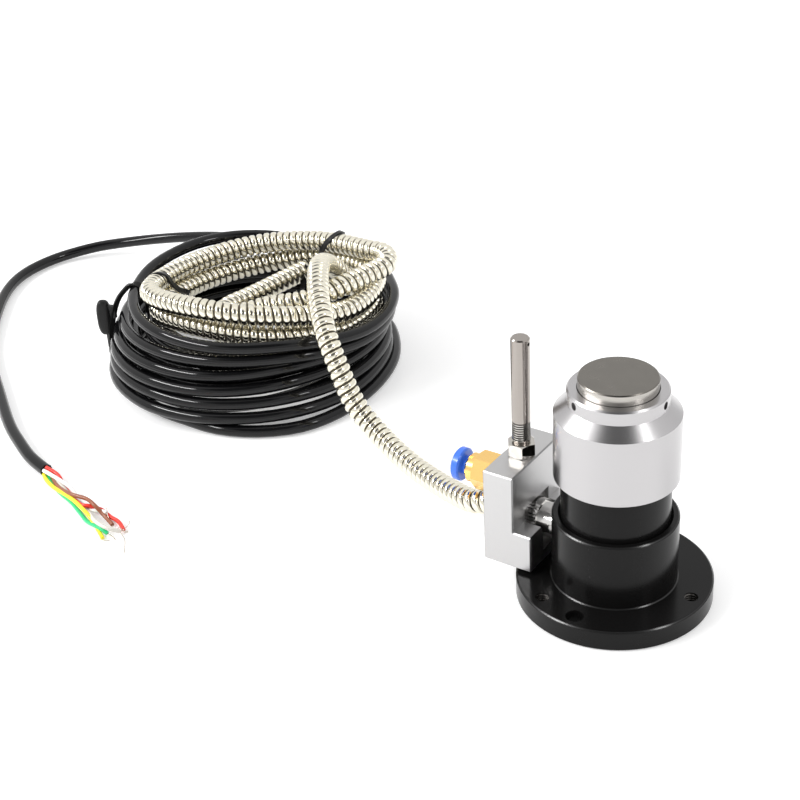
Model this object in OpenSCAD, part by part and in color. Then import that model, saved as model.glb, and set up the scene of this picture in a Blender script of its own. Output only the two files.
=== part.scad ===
// Plunger tool setter with a side block for the air nozzle and the armoured signal cable.
// The origin is the centre of the base's underside, +Z is up and the side block is on -X.

/* [Base] */
// Diameter of the flange
flange_d = 60; // [58:0.5:72]
// Thickness of the flange
flange_t = 6.8; // [5:0.1:9]
// Diameter of the collar that stands on the flange
collar_d = 38.2; // [37.6:0.1:41]
// Height of the collar above the flange
collar_h = 22.1; // [20:0.1:26]
// Bevel on the turned edges
edge_bevel = 0.5; // [0.2:0.1:1]
// Bevel at the root of the collar
root_bevel = 0.4; // [0.2:0.1:0.8]
// Bevel at the mouth of the bore that takes the neck
mouth_bevel = 0.7; // [0.2:0.1:1]
// Thickness of the floor under the neck
floor_t = 8; // [7.5:0.1:9]
// Distance of the flange's hole centres from its rim
hole_edge = 4.5; // [3.5:0.25:5]
// Diameter of the tapped jacking holes
tap_d = 4.2; // [3:0.1:5]
// Diameter of the plain fixing holes
fix_hole_d = 5.5; // [4:0.1:6.5]

/* [Bottom cover] */
// Diameter of the cover in the underside
cover_d = 26; // [25.8:0.1:28]
// Thickness of the cover
cover_t = 2; // [1.6:0.1:2.6]
// How far the cover sits inside the underside
cover_inset = 0.2; // [0.1:0.05:0.5]
// Diameter of the wiring bore through the floor
wiring_d = 14; // [10:0.5:15]
// Pitch circle of the cover's and the switch plate's screws
screw_pcd = 20.6; // [20.2:0.1:20.8]
// Thread diameter of those screws
screw_d = 2.5; // [2:0.1:2.5]
// Head diameter of those screws
screw_head_d = 4.6; // [4:0.1:4.8]
// Height of a screw head
screw_head_h = 1.3; // [1:0.1:1.5]
// How far those screws enter the floor
screw_bite = 2.8; // [2:0.1:3]

/* [Neck] */
// Diameter of the neck
neck_d = 33; // [32:0.1:33.4]
// Wall of the neck round its chamber
neck_wall = 3; // [2.5:0.1:3.1]
// Length of neck that shows between collar and cap at rest
neck_show = 13.5; // [10:0.1:18]
// Section diameter of the ring that seals the skirt
oring_d = 2; // [1.6:0.1:2.4]
// Distance of that ring below the neck's top
oring_drop = 5; // [4:0.1:8]

/* [Cap] */
// Diameter of the cap's skirt
cap_d = 37.4; // [37:0.1:40]
// Height of the straight skirt
skirt_h = 21.5; // [20:0.1:26]
// Radial gap between neck and skirt
skirt_gap = 0.5; // [0.4:0.05:0.6]
// Height of the coned shoulder
cone_h = 3.65; // [3:0.05:4.5]
// Diameter of the ring on top of the cap
ring_d = 29.9; // [29:0.1:32]
// Height of that ring
ring_h = 4.3; // [4:0.1:6]
// Thickness of the roof under the disc
roof_t = 4.8; // [4:0.1:5.4]
// Diameter of the cross holes for a pin wrench
pin_hole_d = 2.4; // [1.5:0.1:3]
// Depth of those holes
pin_hole_deep = 2; // [1:0.1:2.2]

/* [Contact disc] */
// Diameter of the disc
disc_d = 23.6; // [22:0.1:24]
// Thickness of the disc
disc_t = 6; // [5.5:0.1:6.4]
// How far the disc stands above the ring
disc_proud = 3.5; // [2.5:0.1:3.8]
// Bevel on the disc's edge
disc_bevel = 0.35; // [0.2:0.05:0.8]
// Radial gap round the disc
disc_gap = 0.2; // [0.1:0.05:0.4]

/* [Plunger] */
// Travel of cap and disc from rest to the lower stop
travel = 5; // [3:0.1:5.5]
// Diameter of the shaft
shaft_d = 8; // [7:0.1:8.5]
// Diameter of the stud that carries cap and disc
stud_d = 5; // [4:0.1:6]
// How far the stud enters the disc
stud_bite = 3.4; // [2.5:0.1:3.6]
// Outer diameter of the guide bush
bush_d = 15; // [13:0.1:16]
// Length of the guide bush
bush_len = 20; // [17:0.1:20.5]
// Lip that carries the bush
bush_lip = 2.5; // [2:0.1:3]
// Thickness of the wiper seal
seal_t = 2.5; // [2:0.1:3]
// Room left between neck and roof at the lower stop
cap_room = 0.9; // [0.5:0.1:1.5]
// Diameter of the collar that stops the shaft
stop_d = 21; // [20.8:0.1:23]
// Thickness of that collar
stop_t = 3.5; // [3:0.1:4]
// Gap above that collar at rest
stop_gap = 0.2; // [0.1:0.05:0.3]
// Thickness of the trip flag
flag_t = 0.8; // [0.6:0.1:1]
// Wire diameter of the return spring
spring_wire = 0.9; // [0.7:0.05:1]
// Gap between shaft and spring
spring_gap = 0.7; // [0.4:0.05:0.9]
// Diameter of the dowel that keeps the shaft from turning
guide_pin_d = 2; // [1.6:0.1:2.2]
// Distance of that dowel from the shaft's centre
guide_pin_r = 8.6; // [8.4:0.1:8.8]

/* [Switches] */
// Thickness of the plate that carries the switches
plate_t = 3; // [2.5:0.1:3.5]
// Distance of a switch's inner face from the shaft's centre
switch_r = 7; // [6.8:0.05:7.1]
// Depth of a switch, away from the shaft
switch_deep = 5.6; // [5.4:0.05:5.7]
// Breadth of a switch
switch_w = 6; // [5:0.1:6.2]
// Height of a switch
switch_h = 9.5; // [9:0.1:10]
// Width of the slot in a switch
slot_w = 2.8; // [2.4:0.1:3]
// Angle between the two switches
switch_apart = 70; // [60:1:90]

/* [Side block] */
// Thickness of the block above its foot
block_t = 10.4; // [10:0.1:14]
// Width of the block
block_w = 29.3; // [24:0.1:34]
// Height of the block
block_h = 32.05; // [31:0.05:36]
// Length of the foot
foot_len = 6.13; // [5.2:0.01:7]
// Height of the foot
foot_h = 12.75; // [10:0.05:14]
// Gap between the block and the flange
block_lift = 1; // [0.5:0.1:1.5]
// Gap between the foot and the collar
block_gap = 1.77; // [1.2:0.01:3]
// Bevel on the block's edges
block_bevel = 0.4; // [0.2:0.1:0.8]
// Depth of the pocket round the lock ring, behind the block's face
pocket_deep = 1.5; // [1:0.1:2]
// Width of that pocket
pocket_w = 15; // [13.5:0.1:17]
// Gap between the lock ring and the pocket's floor and roof
pocket_gap = 0.5; // [0.3:0.1:1]
// Height of the cable's passage above the base's underside
cable_z = 18.5; // [18:0.1:19]

/* [Nipple] */
// Diameter of the nipple's plain part
nipple_d = 10.8; // [10:0.1:11.4]
// Diameter of the nipple's threaded ends
nipple_thread_d = 9; // [8:0.1:9.2]
// Diameter of the bore that the cable passes
nipple_bore = 5.2; // [4.6:0.1:6]
// Depth of the flat seat cut in the collar for the nipple
seat_deep = 0.9; // [0.8:0.05:1.1]
// How far the nipple enters the neck's wall
nipple_bite = 1.5; // [1:0.1:2]
// Diameter of the knurled lock ring
lock_d = 12.2; // [11.6:0.1:12.8]
// Thickness of the lock ring
lock_t = 4; // [3:0.1:4.5]
// Number of ridges round the lock ring
lock_ridges = 36; // [24:2:48]
// Depth of the ridges
ridge_deep = 0.35; // [0.2:0.05:0.5]

/* [Nozzle] */
// Diameter of the tube
nozzle_d = 5.8; // [5.4:0.1:7]
// Height of the tube's top above the block
nozzle_h = 39.85; // [30:0.05:50]
// Thread diameter below the tube
nozzle_thread_d = 5; // [4:0.1:5.2]
// Length of thread that shows above the block
nozzle_thread_h = 11.65; // [6:0.05:14]
// How far the thread enters the block
nozzle_bite = 6.5; // [5:0.1:6.8]
// Bore of the tube
nozzle_bore = 2.4; // [1.5:0.1:2.8]
// Diameter of the blow hole near the top
blow_d = 1.2; // [0.8:0.1:1.4]
// Distance of the blow hole below the top
blow_drop = 1.7; // [1.6:0.1:3]
// Width across flats of the lock nut
nut_af = 8; // [7.5:0.1:9]
// Height of the lock nut
nut_h = 4.35; // [4:0.05:5]
// Angle of a corner of the nut from the block's face
nut_turn = 3; // [0:1:59]

/* [Push-in fitting] */
// Height of the fitting's axis above the base's underside
fitting_z = 29.2; // [29:0.1:29.6]
// Width across flats of the brass hexagon
hex_af = 11; // [9.5:0.1:11.2]
// Length of the hexagon
hex_len = 10.1; // [9:0.1:14]
// Diameter of the round nose
nose_d = 9.5; // [9:0.1:9.8]
// Length of the nose
nose_len = 3.2; // [2:0.1:5]
// Number of notches in the nose's mouth
notch_count = 6; // [3:1:8]
// Width of a notch
notch_w = 1; // [0.6:0.1:1.4]
// Depth of a notch into the nose
notch_deep = 0.7; // [0.3:0.1:1]
// Length of a notch along the nose
notch_len = 1.7; // [1:0.1:1.9]
// Angle of the first notch from straight up
notch_turn = 40; // [0:1:59]
// Thread diameter of the fitting
fitting_thread_d = 5; // [4:0.1:5]
// How far the thread enters the block
fitting_bite = 2.2; // [1.5:0.1:2.4]
// Bore of the fitting that takes the collar's stem
socket_d = 6; // [5.6:0.1:6.4]
// Depth of that bore
socket_deep = 10; // [9.5:0.1:11]
// Diameter of the blue release collar
release_d = 10.8; // [9:0.1:11]
// Thickness of the collar's head
release_t = 2.8; // [2:0.1:4]
// Gap behind the collar's head at rest
release_gap = 1.7; // [1.5:0.1:2.5]
// Length of the collar's stem inside the fitting
release_stem = 3.6; // [3:0.1:4]
// Outer diameter of the air tube that the fitting takes
air_tube_d = 4; // [3.8:0.1:4.2]

/* [Hose and cable] */
// Outer diameter of the armoured hose
hose_d = 8; // [7:0.1:8.4]
// Outer diameter of the black cable
cable_d = 4.6; // [4:0.1:5]
// Outer diameter of a stripped core
core_d = 1.4; // [1:0.1:1.5]
// Wall of the ferrule that holds the hose in the block
ferrule_wall = 0.75; // [0.5:0.05:0.9]
// Length of that ferrule
ferrule_len = 4.9; // [4:0.1:5]
// Outer diameter of the cable's coil
coil_d = 113; // [110:1:118]
// Height of the cable's coil
coil_h = 33; // [31:1:36]
// Width of the cable's coil
coil_w = 12; // [11:0.5:14]
// Inner diameter of the hose's coil
hose_coil_bore = 56; // [52:1:62]
// Height of the hose's coil
hose_coil_h = 26; // [24:1:28]
// Width of a tie
tie_w = 4; // [3:0.1:5]
// Thickness of a tie
tie_t = 1.2; // [0.8:0.1:1.5]

/* [Hidden] */
$fn = 72;

// Radial clearances: pieces fixed in each other, and pieces that run in each other
fixed_fit = 0.02;
running_fit = 0.05;
// Spare depth at the end of a blind hole
spare = 0.3;
// Overshoot of a cut past the face that it opens
cut = 1;

// Heights of the base and the cover
recess_h = cover_t + cover_inset;
collar_top = flange_t + collar_h;
screw_r = screw_pcd / 2;
tap_angles = [0, 120, 240];
fix_angles = [90, 270];
cover_screw_angles = [90, 210, 330];
plate_screw_angles = [30, 150];

// Heights of the cap and the disc
cap_z = collar_top + neck_show;
shoulder_z = cap_z + skirt_h;
ring_z = shoulder_z + cone_h;
ring_top = ring_z + ring_h;
disc_top = ring_top + disc_proud;
disc_seat = disc_top - disc_t;
ceiling_z = disc_seat - roof_t;
skirt_r = neck_d / 2 + skirt_gap;
ceiling_bevel = 2;

// Heights inside the neck
neck_top = ceiling_z - travel - cap_room;
bush_top = neck_top - seal_t;
bush_z = bush_top - bush_len;
chamber_top = bush_z - bush_lip;
chamber_r = neck_d / 2 - neck_wall;
neck_bevel = 0.8;
seal_room = 0.15;
oring_gap = 0.1;
lip_room = 1;
stop_top = chamber_top - stop_gap;
stop_z = stop_top - stop_t;
flag_z = stop_z - flag_t;
plate_top = floor_t + plate_t;
shaft_lift = 3;
shaft_z = plate_top + shaft_lift;
shaft_r = shaft_d / 2;
spring_r = shaft_r + spring_gap + spring_wire / 2;
spring_turns = 7;
plate_gap = 0.2;
plate_r = chamber_r - plate_gap;
plate_hole_r = shaft_r + 3 * plate_gap;

// Switches and flag blades
switch_angles = [-90 - switch_apart / 2, -90 + switch_apart / 2];
slot_floor = 2;
blade_r = switch_r + switch_deep / 2;
blade_t = 0.6;
blade_w = 3.6;
flag_r = blade_r + blade_t;
// The measuring blade enters its slot first, the overtravel blade later
blade_ends = [plate_top + switch_h + 1.5, plate_top + switch_h - 1];

// Side block, seen from the collar outwards along -X
collar_r = collar_d / 2;
seat_x = seat_deep - collar_r;
foot_x = -collar_r - block_gap;
face_x = foot_x - foot_len;
pocket_x = face_x - pocket_deep;
back_x = face_x - block_t;
block_z = flange_t + block_lift;
ledge_z = block_z + foot_h;
block_top = block_z + block_h;
lock_x = pocket_x + lock_t;
seat_gap = 0.1;
lock_r = lock_d / 2;
nozzle_x = (face_x + back_x) / 2;
nozzle_top = block_top + nozzle_h;
ferrule_x = back_x + ferrule_len;
ferrule_r = hose_d / 2 + ferrule_wall;
inner_cable_end = -9.2;
inner_cable_d = 4;

// Holes in the flange
hole_r = flange_d / 2 - hole_edge;

// Push-in fitting, along -X from the block's back
nose_x = back_x - hex_len;
mouth_x = nose_x - nose_len;
release_x = mouth_x - release_gap;
release_end = release_x - release_t;
stem_x = mouth_x + release_stem;
socket_x = mouth_x + socket_deep;
stem_r = socket_d / 2 - running_fit;
tube_r = air_tube_d / 2 + running_fit;
air_way_d = 2.4;
grip_t = 0.6;
grip_gap = 1.6;
grip_x = stem_x + grip_gap;
seal_ring_d = 1.2;
seal_x = grip_x + grip_gap;

// Coils: the hose's coil sits in the upper part of the cable's coil
coil_x = -185;
coil_y = 64;
coil_r = coil_d / 2;
nest_z = coil_h - 11;
nest_r = coil_r - 9.5;
hose_coil_r = 51;
hose_coil_top = nest_z + hose_coil_h;
coil_round = 3;
tie_gap = 0.2;

// Route of the hose from the ferrule, up over the coil's rim
hose_route = [
  [-33, 0, 18.5], [-38.5, 0, 18.5], [-45, 0, 17.7], [-52, 1, 16.3], [-67.5, 8.5, 13], [-85, 16.5, 11],
  [-102, 23.5, 14],
  [-114, 25, 23], [-122, 26, 35], [-128, 30, 46], [-138.5, 41.5, 52], [-148, 54.5, 51], [-155, 65, 47]
];
// Route of the cable from the back of the coil, round to its stripped end
tail_route = [
  [-181, 119, 24], [-205, 121, 22.5], [-228, 122.5, 19.5], [-252, 123.5, 16], [-271, 122.5, 12.5],
  [-288, 120, 9], [-302, 115, 6.5], [-314, 108, 4.6], [-323, 98, 3], [-327, 87, 2.5], [-327, 73.5, 2.5],
  [-322, 59, 2.5], [-310, 41, 2.5], [-288, 15, 2.5], [-257, -9, 2.5], [-237, -23.5, 2.5],
  [-224, -31, 2.5], [-213, -36.5, 2.5], [-202, -40, 2.5]
];
// Routes of the stripped cores, from the cable's end face
red_route = [[-201.8, -40, 3.9], [-190, -42.5, 4.2], [-178, -45, 3.4], [-166, -48, 3.2], [-155, -53, 2.4]];
white_route = [[-202.05, -41.1, 3], [-191, -44.5, 3.4], [-181, -47.8, 4.2], [-175, -48.6, 3.6],
  [-169, -48.9, 2.4]];
yellow_route = [[-202.05, -41.5, 1.6], [-191, -47, 1.2], [-180, -52, 1], [-168, -56, 1], [-157, -60.5, 1]];
green_route = [[-201.7, -40, 1.1], [-190, -44.3, 1], [-181, -48.2, 1], [-170, -53.5, 1], [-157.5, -57, 1]];
brown_route = [[-201.45, -38.9, 2], [-189, -41, 1.4], [-179, -43.2, 1], [-170, -46.5, 1], [-160, -51, 1]];
shield_route = [[-201.9, -40, 2.5], [-190, -43, 2.5], [-176, -50.5, 2.6], [-160, -53.6, 1.2],
  [-146, -61, 0.8]];

// Colours
black_anodised = [0.06, 0.06, 0.06];
satin_silver = [0.78, 0.78, 0.8];
steel = [0.6, 0.6, 0.6];
hard_metal = [0.42, 0.4, 0.38];
rubber_black = [0.1, 0.1, 0.1];
brass_yellow = [0.85, 0.65, 0.3];

// A point on the curve through b and c, with a and d beyond them
function between(a, b, c, d, t) =
  0.5 * (2 * b + (c - a) * t + (2 * a - 5 * b + 4 * c - d) * t * t + (3 * b - a - 3 * c + d) * t * t * t);
// A route with parts points for each stretch between two of its own
function finer(p, parts) = [
  for (i = [0 : len(p) - 2]) for (k = [0 : parts - 1])
    between(p[max(i - 1, 0)], p[i], p[i + 1], p[min(i + 2, len(p) - 1)], k / parts),
  p[len(p) - 1]
];
function unit(v) = v / norm(v);
function heading(p, i) = unit(p[min(i + 1, len(p) - 1)] - p[max(i - 1, 0)]);
function sideways(v) = unit(cross(v, [0, 0, 1]));
function ring_at(p, v, r, sides) = [
  for (k = [0 : sides - 1]) p + r * (cos(360 * k / sides) * sideways(v)
    + sin(360 * k / sides) * cross(sideways(v), v))
];
function quad(a, b, c, d) = [[a, b, c], [a, c, d]];

// A round tube of diameter d swept along the points p
module swept(p, d, sides) {
  rings = [for (i = [0 : len(p) - 1]) each ring_at(p[i], heading(p, i), d / 2, sides)];
  last = (len(p) - 1) * sides;
  walls = [
    for (i = [0 : len(p) - 2]) for (k = [0 : sides - 1])
      each quad(i * sides + k, i * sides + (k + 1) % sides, (i + 1) * sides + (k + 1) % sides,
        (i + 1) * sides + k)
  ];
  start_cap = [for (k = [0 : sides - 1]) sides - 1 - k];
  end_cap = [for (k = [0 : sides - 1]) last + k];
  polyhedron(rings, concat([start_cap], walls, [end_cap]));
}

// Places its children at a radius and an angle round the vertical axis, facing outwards
module polar(angle, r, z) {
  rotate([0, 0, angle]) translate([r, 0, z]) children();
}

// Turns its children from +Z to -X and starts them at x, on the block's middle plane
module outwards(x, z) {
  translate([x, 0, z]) rotate([0, -90, 0]) children();
}

// A tube between two radii
module pipe(r_out, r_in, h) {
  difference() {
    cylinder(r = r_out, h = h);
    translate([0, 0, -cut]) cylinder(r = r_in, h = h + 2 * cut);
  }
}

module base() {
  flange_r = flange_d / 2;
  bore_r = neck_d / 2 + fixed_fit;
  recess_r = cover_d / 2 + fixed_fit;
  color(black_anodised) difference() {
    rotate_extrude() polygon([
      [recess_r, 0], [flange_r - edge_bevel, 0], [flange_r, edge_bevel], [flange_r, flange_t - edge_bevel],
      [flange_r - edge_bevel, flange_t], [collar_r + root_bevel, flange_t], [collar_r, flange_t + root_bevel],
      [collar_r, collar_top - edge_bevel], [collar_r - edge_bevel, collar_top],
      [bore_r + mouth_bevel, collar_top], [bore_r, collar_top - mouth_bevel], [bore_r, floor_t],
      [wiring_d / 2, floor_t], [wiring_d / 2, recess_h], [recess_r, recess_h]
    ]);
    for (a = tap_angles) polar(a, hole_r, -cut) cylinder(d = tap_d, h = flange_t + 2 * cut);
    for (a = fix_angles) polar(a, hole_r, -cut) cylinder(d = fix_hole_d, h = flange_t + 2 * cut);
    for (a = cover_screw_angles) polar(a, screw_r, recess_h - cut)
      cylinder(r = screw_d / 2 + fixed_fit, h = screw_bite + spare + cut);
    for (a = plate_screw_angles) polar(a, screw_r, floor_t - screw_bite - spare)
      cylinder(r = screw_d / 2 + fixed_fit, h = screw_bite + spare + cut);
    outwards(seat_x, cable_z) cylinder(r = nipple_d / 2 + seat_gap, h = seat_deep + cut);
    outwards(-chamber_r, cable_z) cylinder(r = nipple_thread_d / 2 + fixed_fit, h = collar_r);
  }
}

module bottom_cover() {
  color(black_anodised) difference() {
    translate([0, 0, cover_inset]) cylinder(d = cover_d, h = cover_t);
    for (a = cover_screw_angles) polar(a, screw_r, cover_inset) countersunk(fixed_fit);
  }
}

// Outline of a countersunk screw with its head's face at z = 0 and its thread upwards
module countersunk(grow) {
  thread_r = screw_d / 2 + grow;
  rotate_extrude() polygon([
    [0, 0], [screw_head_d / 2 + grow, 0], [thread_r, screw_head_h], [thread_r, cover_t + screw_bite],
    [0, cover_t + screw_bite]
  ]);
}

module cover_screws() {
  color(steel) for (a = cover_screw_angles) polar(a, screw_r, cover_inset) countersunk(0);
}

module sensor_body() {
  neck_r = neck_d / 2;
  oring_z = neck_top - oring_drop;
  groove_r = skirt_r - oring_gap - oring_d;
  color(black_anodised) difference() {
    rotate_extrude() polygon([
      [chamber_r, floor_t], [neck_r, floor_t],
      [neck_r, oring_z - oring_d / 2], [groove_r, oring_z - oring_d / 2],
      [groove_r, oring_z + oring_d / 2], [neck_r, oring_z + oring_d / 2],
      [neck_r, neck_top - neck_bevel], [neck_r - neck_bevel, neck_top],
      [bush_d / 2 + fixed_fit, neck_top], [bush_d / 2 + fixed_fit, bush_z],
      [shaft_r + lip_room, bush_z], [shaft_r + lip_room, chamber_top], [chamber_r, chamber_top]
    ]);
    outwards(-chamber_r + neck_wall, cable_z) cylinder(r = nipple_thread_d / 2 + fixed_fit, h = neck_r);
  }
}

module guide_bush() {
  color([0.7, 0.5, 0.3]) translate([0, 0, bush_z]) pipe(bush_d / 2, shaft_r + running_fit, bush_len);
}

module wiper_seal() {
  color(rubber_black) translate([0, 0, bush_top]) pipe(bush_d / 2, shaft_r + seal_room, seal_t);
}

module neck_oring() {
  color(rubber_black) translate([0, 0, neck_top - oring_drop]) rotate_extrude()
    translate([skirt_r - oring_gap - oring_d / 2, 0]) circle(d = oring_d - 2 * fixed_fit, $fn = 24);
}

module switch_plate() {
  color(satin_silver) difference() {
    translate([0, 0, floor_t]) pipe(plate_r, plate_hole_r, plate_t);
    for (a = plate_screw_angles) polar(a, screw_r, floor_t - cut)
      cylinder(r = screw_d / 2 + fixed_fit, h = plate_t + 2 * cut);
    polar(90, guide_pin_r, floor_t - cut) cylinder(r = guide_pin_d / 2 + fixed_fit, h = plate_t + 2 * cut);
  }
}

module plate_screws() {
  color(steel) for (a = plate_screw_angles) polar(a, screw_r, floor_t - screw_bite) {
    cylinder(d = screw_d, h = screw_bite + plate_t);
    translate([0, 0, screw_bite + plate_t]) cylinder(d = screw_head_d, h = screw_head_h);
  }
}

// A slotted switch on the plate, its slot open upwards and to both sides
module slotted_switch(angle) {
  polar(angle, switch_r, plate_top) difference() {
    translate([0, -switch_w / 2, 0]) cube([switch_deep, switch_w, switch_h]);
    translate([(switch_deep - slot_w) / 2, -switch_w / 2 - cut, slot_floor])
      cube([slot_w, switch_w + 2 * cut, switch_h]);
  }
}

module measuring_switch() {
  color([0.15, 0.15, 0.17]) slotted_switch(switch_angles[1]);
}

module overtravel_switch() {
  color([0.15, 0.15, 0.17]) slotted_switch(switch_angles[0]);
}

module guide_pin() {
  color(steel) polar(90, guide_pin_r, floor_t)
    cylinder(d = guide_pin_d, h = chamber_top - floor_t - 2 * spare);
}

module plunger() {
  stud_r = stud_d / 2;
  end_bevel = 0.6;
  color(steel) rotate_extrude() polygon([
    [0, shaft_z], [shaft_r - end_bevel, shaft_z], [shaft_r, shaft_z + end_bevel], [shaft_r, ceiling_z],
    [stud_r, ceiling_z], [stud_r, disc_seat + stud_bite], [0, disc_seat + stud_bite]
  ]);
}

module plunger_collar() {
  color(steel) difference() {
    translate([0, 0, stop_z]) pipe(stop_d / 2, shaft_r + fixed_fit, stop_t);
    polar(90, guide_pin_r, stop_z - cut) cylinder(r = guide_pin_d / 2 + running_fit, h = stop_t + 2 * cut);
  }
}

module trip_flag() {
  color(steel) {
    difference() {
      translate([0, 0, flag_z]) pipe(flag_r, shaft_r + fixed_fit, flag_t);
      polar(90, guide_pin_r, flag_z - cut)
        cylinder(r = guide_pin_d / 2 + 2 * running_fit, h = flag_t + 2 * cut);
    }
    for (i = [0, 1]) polar(switch_angles[i], blade_r - blade_t / 2, blade_ends[i])
      translate([0, -blade_w / 2, 0]) cube([blade_t, blade_w, flag_z - blade_ends[i] + flag_t / 2]);
  }
}

module return_spring() {
  steps = 20;
  rise = flag_z - plate_top - spring_wire;
  count = spring_turns * steps;
  coil = [
    for (i = [0 : count]) let (a = 360 * i / steps)
      [spring_r * cos(a), spring_r * sin(a), plate_top + spring_wire / 2 + rise * i / count]
  ];
  color(steel) swept(coil, spring_wire, 6);
}

module cap_sleeve() {
  cap_r = cap_d / 2;
  color(satin_silver) difference() {
    rotate_extrude() polygon([
      [skirt_r, cap_z], [cap_r - edge_bevel, cap_z], [cap_r, cap_z + edge_bevel], [cap_r, shoulder_z],
      [ring_d / 2, ring_z], [ring_d / 2, ring_top - edge_bevel], [ring_d / 2 - edge_bevel, ring_top],
      [disc_d / 2 + disc_gap, ring_top], [disc_d / 2 + disc_gap, disc_seat],
      [stud_d / 2 + fixed_fit, disc_seat],
      [stud_d / 2 + fixed_fit, ceiling_z], [skirt_r - ceiling_bevel, ceiling_z],
      [skirt_r, ceiling_z - ceiling_bevel]
    ]);
    for (a = tap_angles) polar(a, ring_d / 2 - pin_hole_deep, ring_z + ring_h / 2)
      rotate([0, 90, 0]) cylinder(d = pin_hole_d, h = pin_hole_deep + cut, $fn = 32);
  }
}

module contact_disc() {
  disc_r = disc_d / 2;
  thread_r = stud_d / 2 + fixed_fit;
  color(hard_metal) rotate_extrude() polygon([
    [thread_r, disc_seat], [disc_r, disc_seat], [disc_r, disc_top - disc_bevel],
    [disc_r - disc_bevel, disc_top],
    [0, disc_top], [0, disc_seat + stud_bite + spare], [thread_r, disc_seat + stud_bite + spare]
  ]);
}

module cable_nipple() {
  neck_end = neck_d / 2 - nipple_bite;
  main_len = seat_x - lock_x;
  color(steel) difference() {
    union() {
      outwards(-neck_end, cable_z) cylinder(d = nipple_thread_d, h = -ferrule_x - neck_end - spare);
      outwards(seat_x, cable_z) cylinder(d = nipple_d, h = main_len);
    }
    outwards(0, cable_z) cylinder(d = nipple_bore, h = -back_x);
  }
}

module nipple_lock_ring() {
  outer = [
    for (i = [0 : 2 * lock_ridges - 1]) let (a = 180 * i / lock_ridges, r = lock_r - (i % 2) * ridge_deep)
      [r * cos(a), r * sin(a)]
  ];
  color(steel) outwards(lock_x, cable_z) difference() {
    linear_extrude(lock_t) polygon(outer);
    translate([0, 0, -cut]) cylinder(r = nipple_thread_d / 2 + fixed_fit, h = lock_t + 2 * cut);
  }
}

// The block's L-shaped section, x along the part and y up, with bevelled corners
module block_section() {
  b = block_bevel;
  polygon([
    [back_x + b, block_z], [foot_x - b, block_z], [foot_x, block_z + b], [foot_x, ledge_z - b],
    [foot_x - b, ledge_z], [face_x, ledge_z], [face_x, block_top - b], [face_x - b, block_top],
    [back_x + b, block_top], [back_x, block_top - b], [back_x, block_z + b]
  ]);
}

// A square bar set on its edge and centred on p, that bevels the corner it lies on
module corner_bar(p, turn, size) {
  translate(p) rotate(turn) cube(size, center = true);
}

// Bars that bevel the corners between the block's two sides and its other faces
module side_bevels() {
  bar = block_bevel * sqrt(2);
  tower_l = face_x - back_x;
  foot_l = foot_x - face_x;
  tower_h = block_top - ledge_z;
  for (side = [-block_w / 2, block_w / 2]) {
    corner_bar([back_x, side, (block_z + block_top) / 2], [0, 0, 45],
      [bar, bar, block_top - block_z + 2 * cut]);
    corner_bar([face_x, side, ledge_z + tower_h / 2], [0, 0, 45], [bar, bar, tower_h]);
    corner_bar([foot_x, side, (block_z + ledge_z) / 2], [0, 0, 45], [bar, bar, ledge_z - block_z + 2 * cut]);
    corner_bar([back_x + tower_l / 2, side, block_top], [45, 0, 0], [tower_l + 2 * cut, bar, bar]);
    corner_bar([face_x + foot_l / 2, side, ledge_z], [45, 0, 0], [foot_l, bar, bar]);
    corner_bar([(back_x + foot_x) / 2, side, block_z], [45, 0, 0], [foot_x - back_x + 2 * cut, bar, bar]);
  }
}

module air_block() {
  pocket_z = cable_z - lock_r - pocket_gap;
  color(satin_silver) difference() {
    translate([0, block_w / 2, 0]) rotate([90, 0, 0]) linear_extrude(block_w) block_section();
    side_bevels();
    translate([pocket_x, -pocket_w / 2, pocket_z])
      cube([foot_x - pocket_x + cut, pocket_w, lock_d + 2 * pocket_gap]);
    outwards(pocket_x + cut, cable_z) cylinder(r = nipple_thread_d / 2 + fixed_fit,
      h = pocket_x + cut - ferrule_x);
    outwards(ferrule_x, cable_z) cylinder(r = ferrule_r + fixed_fit, h = ferrule_len + cut);
    outwards(nozzle_x, fitting_z) cylinder(r = fitting_thread_d / 2 + fixed_fit, h = nozzle_x - back_x + cut);
    translate([nozzle_x, 0, fitting_z])
      cylinder(r = nozzle_thread_d / 2 + fixed_fit, h = block_top - fitting_z + cut);
  }
}

module nozzle_tube() {
  tube_r = nozzle_d / 2;
  thread_r = nozzle_thread_d / 2;
  top_bevel = 0.4;
  tube_z = block_top + nozzle_thread_h;
  blow_z = nozzle_top - blow_drop;
  color(steel) translate([nozzle_x, 0, 0]) difference() {
    rotate_extrude() polygon([
      [nozzle_bore / 2, block_top - nozzle_bite], [thread_r, block_top - nozzle_bite], [thread_r, tube_z],
      [tube_r, tube_z], [tube_r, nozzle_top - top_bevel], [tube_r - top_bevel, nozzle_top],
      [0, nozzle_top], [0, blow_z], [nozzle_bore / 2, blow_z]
    ]);
    translate([0, 0, blow_z]) rotate([0, 90, 0]) cylinder(d = blow_d, h = tube_r + cut, $fn = 24);
  }
}

// A hexagon bar with its corners turned down to the flats at both ends
module turned_hex(af, h) {
  corner_r = af / 2 / cos(30);
  turn = (corner_r - af / 2) * tan(30);
  intersection() {
    cylinder(r = corner_r, h = h, $fn = 6);
    rotate_extrude() polygon([
      [0, 0], [af / 2, 0], [corner_r, turn], [corner_r, h - turn], [af / 2, h], [0, h]
    ]);
  }
}

module nozzle_nut() {
  color(steel) translate([nozzle_x, 0, block_top]) difference() {
    rotate([0, 0, nut_turn]) turned_hex(nut_af, nut_h);
    translate([0, 0, -cut]) cylinder(r = nozzle_thread_d / 2 + fixed_fit, h = nut_h + 2 * cut);
  }
}

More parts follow.
